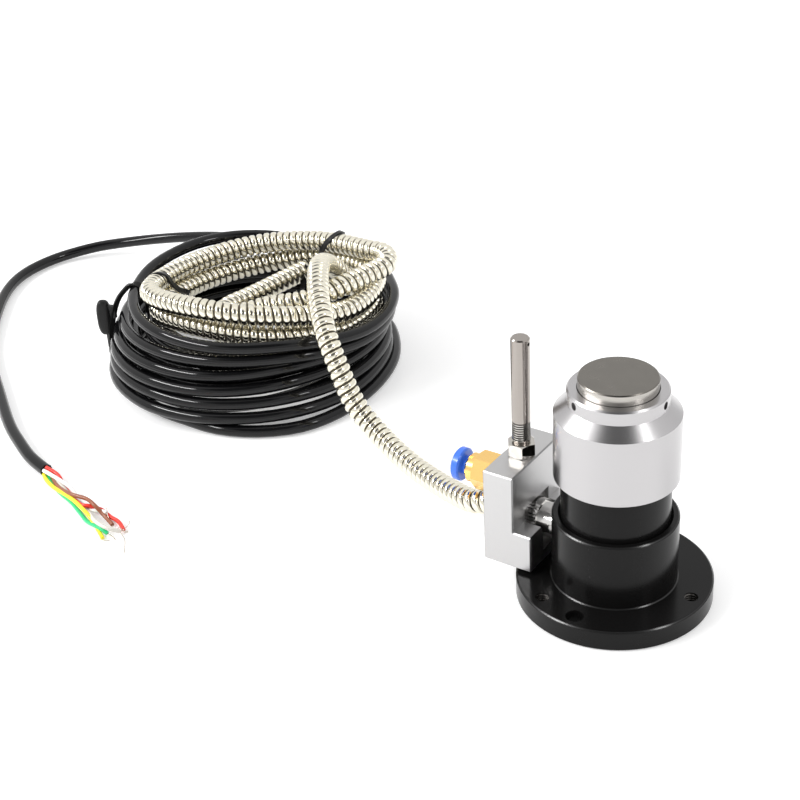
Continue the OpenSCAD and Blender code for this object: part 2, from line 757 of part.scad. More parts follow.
module fitting_body() {
  nose_bevel = 0.8;
  nose_r = nose_d / 2;
  stub_end = back_x + fitting_bite;
  total = stub_end - mouth_x;
  color(brass_yellow) difference() {
    union() {
      outwards(stub_end, fitting_z) rotate_extrude() polygon([
        [0, 0], [fitting_thread_d / 2, 0], [fitting_thread_d / 2, fitting_bite], [nose_r, fitting_bite],
        [nose_r, total - nose_bevel], [nose_r - nose_bevel, total], [0, total]
      ]);
      outwards(back_x, fitting_z) rotate([0, 0, 30]) turned_hex(hex_af, hex_len);
    }
    outwards(stub_end + cut, fitting_z) cylinder(d = air_way_d, h = total + 2 * cut);
    outwards(socket_x, fitting_z) cylinder(d = socket_d, h = socket_deep + cut);
    for (i = [0 : notch_count - 1]) outwards(mouth_x + notch_len, fitting_z)
      rotate([0, 0, notch_turn + 360 * i / notch_count]) translate([nose_r - notch_deep, -notch_w / 2, 0])
        cube([notch_deep + cut, notch_w, notch_len + cut]);
  }
}

module fitting_oring() {
  color(rubber_black) outwards(seal_x, fitting_z) rotate_extrude()
    translate([socket_d / 2 - fixed_fit - seal_ring_d / 2, 0]) circle(d = seal_ring_d, $fn = 24);
}

module grip_ring() {
  color(steel) outwards(grip_x + grip_t, fitting_z) pipe(socket_d / 2 - fixed_fit, tube_r, grip_t);
}

module release_collar() {
  rim_bevel = 0.5;
  head_r = release_d / 2;
  stem_len = stem_x - release_x;
  total = stem_len + release_t;
  color([0.15, 0.4, 0.95]) outwards(stem_x, fitting_z) rotate_extrude() polygon([
    [tube_r, 0], [stem_r, 0], [stem_r, stem_len], [head_r - rim_bevel, stem_len],
    [head_r, stem_len + rim_bevel],
    [head_r, total - rim_bevel], [head_r - rim_bevel, total], [tube_r + rim_bevel, total],
    [tube_r, total - rim_bevel]
  ]);
}

module hose_ferrule() {
  color(steel) outwards(ferrule_x, cable_z) pipe(ferrule_r, hose_d / 2 + fixed_fit, ferrule_len);
}

module inner_cable() {
  color(rubber_black) outwards(inner_cable_end, cable_z)
    cylinder(d = inner_cable_d, h = inner_cable_end - hose_route[0][0]);
}

module hose_lead() {
  color(steel) swept(hose_route, hose_d, 12);
}

module hose_coil() {
  bore_r = hose_coil_bore / 2;
  low_r = nest_r - tie_gap;
  color(steel) translate([coil_x, coil_y, 0]) rotate_extrude() polygon([
    [bore_r + coil_round, nest_z], [low_r, nest_z], [low_r, coil_h + coil_round],
    [hose_coil_r, coil_h + 2 * coil_round],
    [hose_coil_r, hose_coil_top - coil_round], [hose_coil_r - coil_round, hose_coil_top],
    [bore_r + coil_round, hose_coil_top], [bore_r, hose_coil_top - coil_round], [bore_r, nest_z + coil_round]
  ]);
}

module cable_coil() {
  color(rubber_black) translate([coil_x, coil_y, 0]) rotate_extrude() polygon([
    [coil_r - coil_w, 0], [coil_r - coil_round, 0], [coil_r, coil_round], [coil_r, coil_h - coil_round],
    [coil_r - coil_round, coil_h], [nest_r, coil_h], [nest_r, nest_z], [coil_r - coil_w, nest_z]
  ]);
}

module cable_tail() {
  color(rubber_black) swept(finer(tail_route, 2), cable_d, 8);
}

module core(route, tint) {
  color(tint) swept(route, core_d, 8);
}

module wire_red() {
  core(red_route, [0.85, 0.1, 0.1]);
}

module wire_white() {
  core(white_route, [0.95, 0.95, 0.93]);
}

module wire_yellow() {
  core(yellow_route, [0.95, 0.85, 0.1]);
}

module wire_green() {
  core(green_route, [0.1, 0.6, 0.25]);
}

module wire_brown() {
  core(brown_route, [0.45, 0.22, 0.12]);
}

module shield_drain() {
  core(shield_route, [0.6, 0.58, 0.55]);
}

// The tie's band up the outside of the cable's coil and over its rim, with its knot
module coil_tie() {
  band_r = coil_r + tie_gap;
  knot_z = 12;
  knot_h = 14;
  knot_w = 6;
  knot_t = 3;
  color(rubber_black) translate([coil_x, coil_y, 0]) rotate([0, 0, 221]) {
    translate([band_r, -tie_w / 2, 1]) cube([tie_t, tie_w, coil_h + tie_gap + tie_t - 1]);
    translate([nest_r + 1, -tie_w / 2, coil_h + tie_gap]) cube([band_r + tie_t - nest_r - 1, tie_w, tie_t]);
    translate([band_r, 0, knot_z]) rotate([90, 0, 90]) linear_extrude(tie_t + knot_t) {
      translate([-knot_w / 2, 0]) square([knot_w, knot_h - knot_w]);
      circle(d = knot_w, $fn = 32);
      translate([0, knot_h - knot_w]) circle(d = knot_w, $fn = 32);
    }
  }
}

// A band over the hose's coil
module hose_band(angle) {
  leg = 8;
  in_r = hose_coil_bore / 2 - tie_gap - tie_t;
  out_r = hose_coil_r + tie_gap + tie_t;
  top = hose_coil_top + tie_gap;
  color(rubber_black) translate([coil_x, coil_y, 0]) rotate([0, 0, angle]) {
    translate([in_r, -tie_w / 2, top]) cube([out_r - in_r, tie_w, tie_t]);
    translate([in_r, -tie_w / 2, top - leg]) cube([tie_t, tie_w, leg + tie_t]);
    translate([out_r - tie_t, -tie_w / 2, top - leg]) cube([tie_t, tie_w, leg + tie_t]);
  }
}

module hose_tie_back() {
  hose_band(98);
}

module hose_tie_left() {
  hose_band(196);
}

base();
sensor_body();
guide_bush();
wiper_seal();
neck_oring();
bottom_cover();
cover_screws();
switch_plate();
plate_screws();
measuring_switch();
overtravel_switch();
guide_pin();
plunger();
plunger_collar();
trip_flag();
return_spring();
cap_sleeve();
contact_disc();
cable_nipple();
nipple_lock_ring();
air_block();
nozzle_tube();
nozzle_nut();
fitting_body();
fitting_oring();
grip_ring();
release_collar();
hose_ferrule();
inner_cable();
hose_lead();
hose_coil();
cable_coil();
cable_tail();
wire_red();
wire_white();
wire_yellow();
wire_green();
wire_brown();
shield_drain();
coil_tie();
hose_tie_back();
hose_tie_left();
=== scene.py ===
import math

import bmesh
import bpy
from mathutils import Matrix, Vector


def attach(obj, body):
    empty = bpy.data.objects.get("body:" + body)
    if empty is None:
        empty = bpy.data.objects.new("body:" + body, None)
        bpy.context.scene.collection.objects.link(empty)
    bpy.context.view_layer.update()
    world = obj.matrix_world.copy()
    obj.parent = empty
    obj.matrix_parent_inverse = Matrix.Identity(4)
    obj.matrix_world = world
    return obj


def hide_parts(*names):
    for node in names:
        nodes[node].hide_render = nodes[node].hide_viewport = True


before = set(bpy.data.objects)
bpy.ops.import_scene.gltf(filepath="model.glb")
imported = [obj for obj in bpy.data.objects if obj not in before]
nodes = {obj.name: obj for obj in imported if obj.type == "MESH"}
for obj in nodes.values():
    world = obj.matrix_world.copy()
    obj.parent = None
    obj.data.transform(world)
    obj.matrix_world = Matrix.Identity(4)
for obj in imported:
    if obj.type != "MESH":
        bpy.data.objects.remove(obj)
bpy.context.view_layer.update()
scene = bpy.context.scene
scene.view_settings.view_transform = "Standard"
mm = 0.001
weldDistance = 1e-7


# Small helpers for routes and meshes

def ease(x):
    x = min(max(x, 0), 1)
    return x * x * (3 - 2 * x)


def lookUp(rows, x):
    for (a, u), (b, v) in zip(rows, rows[1:]):
        if a <= x <= b:
            return u + (v - u) * ease((x - a) / (b - a))
    return rows[0][1] if x < rows[0][0] else rows[-1][1]


def throughPoints(points, parts):
    p = [Vector(q) for q in points]
    line = []
    for i in range(len(p) - 1):
        a, b, c, d = p[max(i - 1, 0)], p[i], p[i + 1], p[min(i + 2, len(p) - 1)]
        for k in range(parts):
            t = k / parts
            line.append(0.5 * (2 * b + (c - a) * t + (2 * a - 5 * b + 4 * c - d) * t ** 2
                               + (3 * b - a - 3 * c + d) * t ** 3))
    return line + [p[-1]]


def lineLength(line):
    return sum((b - a).length for a, b in zip(line, line[1:]))


def framesAlong(line):
    side = Vector((0, 0, 1))
    found = []
    for i, point in enumerate(line):
        ahead = (line[min(i + 1, len(line) - 1)] - line[max(i - 1, 0)]).normalized()
        side = (side - ahead * side.dot(ahead)).normalized()   # carried along, so nothing twists
        found.append((point, ahead, side, ahead.cross(side)))
    return found


def bendAlong(bm, line):
    found = framesAlong(line)
    marks = [0.0]
    for a, b in zip(line, line[1:]):
        marks.append(marks[-1] + (b - a).length)
    for v in sorted(bm.verts, key=lambda vert: vert.co.x):
        i = max(0, min(int(v.co.x / marks[-1] * (len(line) - 1)), len(line) - 2))
        while i > 0 and marks[i] > v.co.x:
            i -= 1
        while i < len(line) - 2 and marks[i + 1] < v.co.x:
            i += 1
        f = (v.co.x - marks[i]) / (marks[i + 1] - marks[i])
        p, ahead, side, cross = [found[i][n].lerp(found[i + 1][n], f) for n in range(4)]
        v.co = p + side.normalized() * v.co.y + cross.normalized() * v.co.z


def addPiece(name, bm, pieceLooks, smoothAngle=40):
    bmesh.ops.scale(bm, verts=bm.verts, vec=(mm, mm, mm))   # pieces are drawn in millimetres
    bmesh.ops.remove_doubles(bm, verts=bm.verts, dist=weldDistance)
    bmesh.ops.recalc_face_normals(bm, faces=bm.faces)
    mesh = bpy.data.meshes.new(name)
    bm.to_mesh(mesh)
    bm.free()
    for look in pieceLooks:
        mesh.materials.append(look)
    obj = bpy.data.objects.new(name, mesh)
    scene.collection.objects.link(obj)
    mesh.shade_smooth()
    mesh.set_sharp_from_angle(angle=math.radians(smoothAngle))
    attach(obj, "housing")
    return obj


def addTubes(name, lines, diameter, look, roundness=4):
    curve = bpy.data.curves.new(name, "CURVE")
    curve.dimensions = "3D"
    curve.bevel_depth = diameter / 2 * mm
    curve.bevel_resolution = roundness
    curve.use_fill_caps = True
    for line in lines:
        spline = curve.splines.new("POLY")
        spline.points.add(len(line) - 1)
        for point, place in zip(spline.points, line):
            point.co = (*(Vector(place) * mm), 1)
        spline.use_smooth = True
    curve.materials.append(look)
    obj = bpy.data.objects.new(name, curve)
    scene.collection.objects.link(obj)
    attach(obj, "housing")
    return obj


def addStripTo(bm, line, across, width, thick):
    across, last, face = Vector(across), [], None
    for i, place in enumerate(line):
        ahead = (line[min(i + 1, len(line) - 1)] - line[max(i - 1, 0)]).normalized()
        wide = (across - ahead * across.dot(ahead)).normalized()
        deep = ahead.cross(wide) * thick / 2
        wide *= width / 2
        corners = [place + wide + deep, place - wide + deep, place - wide - deep, place + wide - deep]
        if face is None:
            face = bm.faces.new([bm.verts.new(c) for c in corners])
        else:
            made = bmesh.ops.extrude_face_region(bm, geom=[face])["geom"]
            for v in made:
                if isinstance(v, bmesh.types.BMVert):
                    nearest = min(range(4), key=lambda n: (v.co - last[n]).length)
                    v.co = corners[nearest]
            face = [f for f in made if isinstance(f, bmesh.types.BMFace)][0]
        last = corners


def addThreadTo(bm, spec, place):
    start = len(bm.verts)
    root, crest, pitch, turns, steps = [spec[key] for key in ("root", "crest", "pitch", "turns", "steps")]
    flanks = ((0, 0), (0.15, 0), (0.45, 1), (0.6, 1), (0.9, 0), (1, 0))   # share of pitch, share of depth
    verts = [bm.verts.new((root + (crest - root) * lift, 0, share * pitch)) for share, lift in flanks]
    edges = [bm.edges.new(pair) for pair in zip(verts, verts[1:])]
    bmesh.ops.spin(bm, geom=verts + edges, axis=(0, 0, 1), cent=(0, 0, 0), angle=2 * math.pi * turns,
                   dvec=(0, 0, pitch / steps), steps=steps * turns)
    bm.verts.ensure_lookup_table()
    bmesh.ops.translate(bm, verts=bm.verts[start:], vec=place)


# Camera

cameraSpec = dict(place=(178.5, -361.1, 301.0), lens=72.43, sensor=36, clip=0.01,
                  right=(0.8317, 0.5531, -0.0482), up=(-0.2423, 0.4397, 0.8648))


def makeCamera(spec):
    data = bpy.data.cameras.new("camera")
    data.lens = spec["lens"]
    data.sensor_width = spec["sensor"]
    data.clip_start = spec["clip"]
    obj = bpy.data.objects.new("camera", data)
    right, up = Vector(spec["right"]), Vector(spec["up"])
    turn = Matrix((right, up, right.cross(up))).transposed()
    obj.matrix_world = Matrix.Translation(Vector(spec["place"]) * mm) @ turn.to_4x4()
    scene.collection.objects.link(obj)
    scene.camera = obj


makeCamera(cameraSpec)
print("camera placed")


# Shared surface effects

def newGroup(name, inputs, output, outKind="NodeSocketFloat"):
    group = bpy.data.node_groups.new(name, "ShaderNodeTree")
    for socket, kind, value in inputs:
        made = group.interface.new_socket(name=socket, in_out="INPUT", socket_type=kind)
        made.default_value = value
    group.interface.new_socket(name=output, in_out="OUTPUT", socket_type=outKind)
    return group, group.nodes.new("NodeGroupInput"), group.nodes.new("NodeGroupOutput")


def mathNode(tree, operation, a, b=None):
    node = tree.nodes.new("ShaderNodeMath")
    node.operation = operation
    for i, value in enumerate((a, b)):
        if value is None:
            continue
        if isinstance(value, (int, float)):
            node.inputs[i].default_value = value
        else:
            tree.links.new(value, node.inputs[i])
    return node.outputs[0]


def vectorNode(tree, operation, a, b):
    node = tree.nodes.new("ShaderNodeVectorMath")
    node.operation = operation
    for i, value in enumerate((a, b)):
        if isinstance(value, tuple):
            node.inputs[i].default_value = value
        else:
            tree.links.new(value, node.inputs[i])
    return node


def makeTurnedLines():
    group, given, out = newGroup("turnedLines", [
        ("Centre", "NodeSocketVector", (0, 0, 0)), ("Across", "NodeSocketVector", (1, 1, 0)),
        ("Lines", "NodeSocketFloat", 4000)], "Mask")
    place = group.nodes.new("ShaderNodeTexCoord").outputs["Object"]
    off = vectorNode(group, "SUBTRACT", place, given.outputs["Centre"]).outputs[0]
    flat = vectorNode(group, "MULTIPLY", off, given.outputs["Across"]).outputs[0]
    rest = vectorNode(group, "SUBTRACT", off, flat).outputs[0]
    reach = vectorNode(group, "LENGTH", flat, (0, 0, 0)).outputs["Value"]
    along = vectorNode(group, "DOT_PRODUCT", rest, (1, 1, 1)).outputs["Value"]
    noise = group.nodes.new("ShaderNodeTexNoise")
    noise.noise_dimensions = "1D"
    noise.inputs["Detail"].default_value = 3
    noise.inputs["Scale"].default_value = 1
    where = mathNode(group, "MULTIPLY", mathNode(group, "ADD", reach, along), given.outputs["Lines"])
    group.links.new(where, noise.inputs["W"])
    group.links.new(noise.outputs["Fac"], out.inputs["Mask"])
    return group


def makeGrain():
    group, given, out = newGroup("grain", [
        ("Stretch", "NodeSocketVector", (1, 1, 1)), ("Scale", "NodeSocketFloat", 500)], "Mask")
    place = group.nodes.new("ShaderNodeTexCoord").outputs["Object"]
    pulled = vectorNode(group, "MULTIPLY", place, given.outputs["Stretch"]).outputs[0]
    noise = group.nodes.new("ShaderNodeTexNoise")
    noise.inputs["Detail"].default_value = 4
    group.links.new(pulled, noise.inputs["Vector"])
    group.links.new(given.outputs["Scale"], noise.inputs["Scale"])
    group.links.new(noise.outputs["Fac"], out.inputs["Mask"])
    return group


def makeEdgeRing():
    group, given, out = newGroup("edgeRing", [
        ("Radius", "NodeSocketFloat", 0.03), ("Height", "NodeSocketFloat", 0),
        ("Width", "NodeSocketFloat", 0.0004)], "Mask")
    place = group.nodes.new("ShaderNodeTexCoord").outputs["Object"]
    flat = vectorNode(group, "MULTIPLY", place, (1, 1, 0)).outputs[0]
    reach = vectorNode(group, "LENGTH", flat, (0, 0, 0)).outputs["Value"]
    height = vectorNode(group, "DOT_PRODUCT", place, (0, 0, 1)).outputs["Value"]
    off = mathNode(group, "SUBTRACT", reach, given.outputs["Radius"])
    rise = mathNode(group, "SUBTRACT", height, given.outputs["Height"])
    far = mathNode(group, "SQRT", mathNode(group, "ADD", mathNode(group, "MULTIPLY", off, off),
                                           mathNode(group, "MULTIPLY", rise, rise)))
    near = mathNode(group, "SUBTRACT", 1, mathNode(group, "DIVIDE", far, given.outputs["Width"]))
    group.links.new(mathNode(group, "MAXIMUM", near, 0), out.inputs["Mask"])
    return group


def makeRoundNormal():
    turnedShare, tiny = 0.985, 0.000001       # faces that point this much at the axis count as turned
    group, given, out = newGroup("roundNormal", [
        ("Centre", "NodeSocketVector", (0, 0, 0)), ("Across", "NodeSocketVector", (1, 1, 0))],
        "Normal", "NodeSocketVector")
    place = group.nodes.new("ShaderNodeTexCoord").outputs["Object"]
    facet = group.nodes.new("ShaderNodeNewGeometry").outputs["True Normal"]
    off = vectorNode(group, "SUBTRACT", place, given.outputs["Centre"]).outputs[0]
    flat = vectorNode(group, "MULTIPLY", off, given.outputs["Across"]).outputs[0]
    outward = vectorNode(group, "NORMALIZE", flat, (0, 0, 0)).outputs[0]
    lean = vectorNode(group, "MULTIPLY", facet, given.outputs["Across"]).outputs[0]
    rest = vectorNode(group, "SUBTRACT", facet, lean).outputs[0]
    reach = vectorNode(group, "LENGTH", lean, (0, 0, 0)).outputs["Value"]
    along = vectorNode(group, "DOT_PRODUCT", lean, outward).outputs["Value"]
    pull = mathNode(group, "MULTIPLY", mathNode(group, "SIGN", along), reach)
    push = group.nodes.new("ShaderNodeVectorMath")
    push.operation = "SCALE"
    group.links.new(outward, push.inputs[0])
    group.links.new(pull, push.inputs["Scale"])
    turned = vectorNode(group, "ADD", rest, push.outputs[0]).outputs[0]
    share = mathNode(group, "DIVIDE", mathNode(group, "ABSOLUTE", along),
                     mathNode(group, "MAXIMUM", reach, tiny))
    pick = group.nodes.new("ShaderNodeMix")
    pick.data_type = "VECTOR"
    group.links.new(mathNode(group, "GREATER_THAN", share, turnedShare), pick.inputs["Factor"])
    group.links.new(facet, pick.inputs["A"])
    group.links.new(turned, pick.inputs["B"])
    group.links.new(pick.outputs["Result"], out.inputs["Normal"])
    return group


effects = dict(turned=makeTurnedLines(), grain=makeGrain(), edge=makeEdgeRing(),
               rounded=makeRoundNormal())
finishSpec = dict(coatRough=0.08, leastRough=0.02, bumpHeight=0.0002, wallLean=0.3, squareFace=0.95)


def addEffect(tree, effect, settings):
    node = tree.nodes.new("ShaderNodeGroup")
    node.node_tree = effects[effect]
    for socket, value in settings.items():
        node.inputs[socket].default_value = value
    return node


def layOver(tree, under, colour, factor):
    mix = tree.nodes.new("ShaderNodeMix")
    mix.data_type = "RGBA"
    mix.inputs["B"].default_value = (*colour, 1)
    tree.links.new(factor, mix.inputs["Factor"])
    tree.links.new(under, mix.inputs["A"])
    return mix.outputs["Result"]


def makeLook(name, colour, rough, metallic=0.0, coat=0.0, effect="grain", settings=None, roughSpan=0.08,
             tint=0.1, bump=0.05, specular=0.5, edges=(), edgeGlintColour=(0.055, 0.055, 0.055), form=None,
             wallHighlight=None, bevelShade=None):
    look = bpy.data.materials.new(name)
    look.use_nodes = True
    tree = look.node_tree
    shader = tree.nodes["Principled BSDF"]
    shader.inputs["Metallic"].default_value = metallic
    shader.inputs["Coat Weight"].default_value = coat
    shader.inputs["Coat Roughness"].default_value = finishSpec["coatRough"]
    shader.inputs["Specular IOR Level"].default_value = specular
    facet = tree.nodes.new("ShaderNodeNewGeometry").outputs["True Normal"]
    mask = addEffect(tree, effect, settings or {}).outputs["Mask"]
    span = tree.nodes.new("ShaderNodeMapRange")
    span.inputs["To Min"].default_value = max(rough - roughSpan, finishSpec["leastRough"])
    span.inputs["To Max"].default_value = rough + roughSpan
    tree.links.new(mask, span.inputs["Value"])
    tree.links.new(span.outputs["Result"], shader.inputs["Roughness"])
    blend = tree.nodes.new("ShaderNodeMix")
    blend.data_type = "RGBA"
    blend.inputs["A"].default_value = (*[c * (1 - tint) for c in colour], 1)
    blend.inputs["B"].default_value = (*[min(c * (1 + tint), 1) for c in colour], 1)
    tree.links.new(mask, blend.inputs["Factor"])
    colourOut = blend.outputs["Result"]
    edgeGlint = None
    for radius, height, width in edges:             # painted highlight: a thin bright metallic line along each chamfered rim
        ring = addEffect(tree, "edge", dict(Radius=radius * mm, Height=height * mm, Width=width * mm))
        edgeGlint = mathNode(tree, "MAXIMUM", ring.outputs["Mask"], edgeGlint if edgeGlint else 0)
    if edgeGlint:
        colourOut = layOver(tree, colourOut, edgeGlintColour, edgeGlint)
        tree.links.new(edgeGlint, shader.inputs["Metallic"])
    if wallHighlight:                                        # painted highlight: steep side walls get a lighter colour than the top, for the brighter light they catch
        lean = vectorNode(tree, "DOT_PRODUCT", facet, (0, 0, 1)).outputs["Value"]
        steep = mathNode(tree, "LESS_THAN", lean, finishSpec["wallLean"])
        colourOut = layOver(tree, colourOut, wallHighlight, steep)
    if bevelShade:                                       # painted shade: narrow slanting faces get a darker colour, kept from flashing
        parts = tree.nodes.new("ShaderNodeSeparateXYZ")
        tree.links.new(facet, parts.inputs[0])
        x, y, z = [mathNode(tree, "ABSOLUTE", part) for part in parts.outputs]
        most = mathNode(tree, "MAXIMUM", mathNode(tree, "MAXIMUM", x, y), z)
        slant = mathNode(tree, "LESS_THAN", most, finishSpec["squareFace"])
        colourOut = layOver(tree, colourOut, bevelShade, slant)
    tree.links.new(colourOut, shader.inputs["Base Color"])
    lift = tree.nodes.new("ShaderNodeBump")
    lift.inputs["Strength"].default_value = bump
    lift.inputs["Distance"].default_value = finishSpec["bumpHeight"]
    tree.links.new(mask, lift.inputs["Height"])
    if form == "flat":
        tree.links.new(facet, lift.inputs["Normal"])
    elif form:                                      # smooth round the turning axis, crisp at the edges
        rounded = addEffect(tree, "rounded", dict(Centre=form["Centre"], Across=form["Across"]))
        tree.links.new(rounded.outputs["Normal"], lift.inputs["Normal"])
    tree.links.new(lift.outputs["Normal"], shader.inputs["Normal"])
    return look


def turnedAbout(x=0, y=0, z=0, across=(1, 1, 0), lines=4000):
    return dict(Centre=(x * mm, y * mm, z * mm), Across=across, Lines=lines)


baseEdgeGlints = [(29.75, 6.55, 0.3), (18.85, 28.65, 0.3), (16.9, 28.55, 0.3), (19.3, 7, 0.2)]   # painted highlight rings along the base's rims: r, z, width
upright = turnedAbout()
nozzleAxis = turnedAbout(-32.2, 0, 0)
nippleAxis = turnedAbout(0, 0, 18.5, (0, 1, 1))
fittingAxis = turnedAbout(0, 0, 29.2, (0, 1, 1))
drawn = dict(Stretch=(1, 1, 0.05), Scale=3000)      # grain along an upright tube
lookSpec = dict(
    blackAnodised=dict(colour=(0.006, 0.0058, 0.0058), rough=0.2, effect="turned", settings=upright,
                       roughSpan=0.02, bump=0.01, specular=0.16, edges=baseEdgeGlints, form=upright),
    satinSilver=dict(colour=(0.49, 0.48, 0.485), rough=0.25, metallic=1, effect="turned", settings=upright,
                     roughSpan=0.03, tint=0.02, bump=0.015, form=upright),
    blockSilver=dict(colour=(0.54, 0.535, 0.535), rough=0.34, metallic=1,
                     settings=dict(Stretch=(1, 0.08, 1), Scale=4000), roughSpan=0.05, tint=0.03, bump=0.03,
                     form="flat", bevelShade=(0.3, 0.3, 0.3)),
    hardMetal=dict(colour=(0.19, 0.178, 0.16), rough=0.25, metallic=1, settings=dict(Scale=260),
                   roughSpan=0.07, bump=0.01, form=upright, wallHighlight=(0.45, 0.43, 0.4)),
    steel=dict(colour=(0.5, 0.48, 0.45), rough=0.17, metallic=1, settings=drawn, roughSpan=0.06, tint=0.06,
               bump=0.04),
    nozzleSteel=dict(colour=(0.36, 0.33, 0.305), rough=0.13, metallic=1, settings=drawn, roughSpan=0.05,
                     tint=0.05, bump=0.02, form=nozzleAxis),
    nutSteel=dict(colour=(0.5, 0.48, 0.45), rough=0.14, metallic=1, settings=dict(Scale=3000),
                  roughSpan=0.05, tint=0.05, bump=0.02, form="flat"),
    nippleSteel=dict(colour=(0.8, 0.79, 0.77), rough=0.14, metallic=1, settings=dict(Scale=3000),
                     roughSpan=0.05, tint=0.04, bump=0.02, form=nippleAxis),
    brass=dict(colour=(0.95, 0.62, 0.22), rough=0.22, metallic=1, effect="turned", settings=fittingAxis,
               roughSpan=0.05, tint=0.05, bump=0.03, form="flat"),
    bronze=dict(colour=(0.5, 0.33, 0.17), rough=0.35, metallic=1, effect="turned", settings=upright),
    rubber=dict(colour=(0.012, 0.012, 0.012), rough=0.6, settings=dict(Scale=2500), specular=0.2),
    bluePlastic=dict(colour=(0.042, 0.18, 0.88), rough=0.3, coat=0.3, settings=dict(Scale=1500),
                     roughSpan=0.05, tint=0.06, bump=0.03, form=fittingAxis),
    blackPlastic=dict(colour=(0.012, 0.012, 0.012), rough=0.35, settings=dict(Scale=1500), roughSpan=0.06,
                      tint=0.2, specular=0.25),
    hoseSteel=dict(colour=(0.84, 0.8, 0.675), rough=0.13, metallic=1, settings=dict(Scale=700),
                   roughSpan=0.06, tint=0.06, bump=0.03),
    # painted shade: the dark colour in the hose's grooves stands for the shade between its windings
    hoseGrooveShade=dict(colour=(0.11, 0.095, 0.07), rough=0.5, metallic=1, settings=dict(Scale=900), tint=0.2),
    cableBlack=dict(colour=(0.004, 0.004, 0.0045), rough=0.08, settings=dict(Scale=400), roughSpan=0.04,
                    tint=0.3, bump=0.03, specular=0.32),
    # dark look for the threads in the flange's tapped holes, and painted shade on the nozzle thread's
    # downward flanks
    tapped=dict(colour=(0.09, 0.085, 0.08), rough=0.25, metallic=1, settings=dict(Scale=2500), tint=0.2),
    copper=dict(colour=(0.62, 0.56, 0.48), rough=0.3, metallic=1, settings=dict(Scale=2500), roughSpan=0.1,
                tint=0.3, bump=0.1),
    shieldFoil=dict(colour=(0.72, 0.69, 0.63), rough=0.45, settings=dict(Scale=2500), roughSpan=0.1,
                    tint=0.15, bump=0.1))
looks = {lookName: makeLook(lookName, **given) for lookName, given in lookSpec.items()}
coreFinish = dict(rough=0.35, coat=0.1, settings=dict(Scale=1200), roughSpan=0.06, tint=0.06, bump=0.04)
coreColours = dict(red=(0.85, 0.045, 0.03), white=(0.92, 0.92, 0.9), yellow=(1, 0.85, 0.03),
                   green=(0.02, 0.6, 0.22), brown=(0.3, 0.1, 0.05))
for coreName, tone in coreColours.items():
    looks[coreName] = makeLook("core_" + coreName, tone, **coreFinish)
print("looks ready:", len(looks))


# Armoured hose: a lead from the block, two turns and an end inside them

hoseSpec = dict(
    diameter=8, pitch=2.9, centre=(-180, 62), exit=(-37.4, 0, 18.5),
    steps=20, pieceTurns=4, weld=0.001, grooveRadius=3.5, turnParts=3, lineParts=6,
    lead=[(-33, 0, 18.5), (-38.5, 0, 18.5), (-45, 0, 17.7), (-52, 0.8, 15.6), (-67.5, 8.2, 12),
          (-85, 16.2, 10.4), (-102, 23, 13.4), (-113, 24.6, 21.8), (-120, 26, 33), (-127.5, 30, 43),
          (-138, 41, 49.5), (-147, 53, 50.8), (-154, 63.5, 49), (-158.5, 72.5, 45.3), (-160.6, 81, 39.5),
          (-158.9, 86.8, 32.2), (-153.4, 89.2, 26.6), (-147, 86.4, 25), (-144, 76, 25.2)],
    turnStep=-45,                                      # degrees between the radii, clockwise from the right
    radii=[36.5, 36.8, 35.7, 40.4, 36.4, 36.4, 39.5, 42.6, 39, 36.2, 38, 43, 39, 38, 36.4, 46.6],
    heights=[26.3, 32, 34.1, 31.3, 27.6, 27.7, 31.7, 34, 35, 40.2, 42.9, 39, 35.2, 35.8, 39.5, 42.5],
    inner=[(-141.2, 87.6, 42.5), (-143, 75.5, 42.3), (-147.5, 61.2, 41.6), (-154.7, 52.2, 39.3),
           (-165.5, 47.5, 37), (-172.5, 42.8, 35), (-179.8, 40.8, 32.8), (-186, 43.8, 31.2),
           (-188, 50.8, 30.4), (-187, 58.5, 30), (-185.6, 66.5, 30), (-184.4, 75, 30), (-182.7, 88.5, 29.8)],
    profile=[(0, 3.15), (0.04, 3.42), (0.1, 3.7), (0.2, 3.92), (0.32, 4), (0.44, 4.01), (0.56, 4),
             (0.68, 3.92), (0.78, 3.7), (0.84, 3.42), (0.88, 3.15), (1, 3.15)])   # share of pitch, radius


def hoseLine(spec):
    turns = []
    x, y = spec["centre"]
    for i, (r, z) in enumerate(zip(spec["radii"], spec["heights"])):
        angle = math.radians(spec["turnStep"] * i)
        turns.append((x + r * math.cos(angle), y + r * math.sin(angle), z))
    fine = throughPoints(turns, spec["turnParts"])
    return throughPoints(spec["lead"] + fine + spec["inner"], spec["lineParts"])


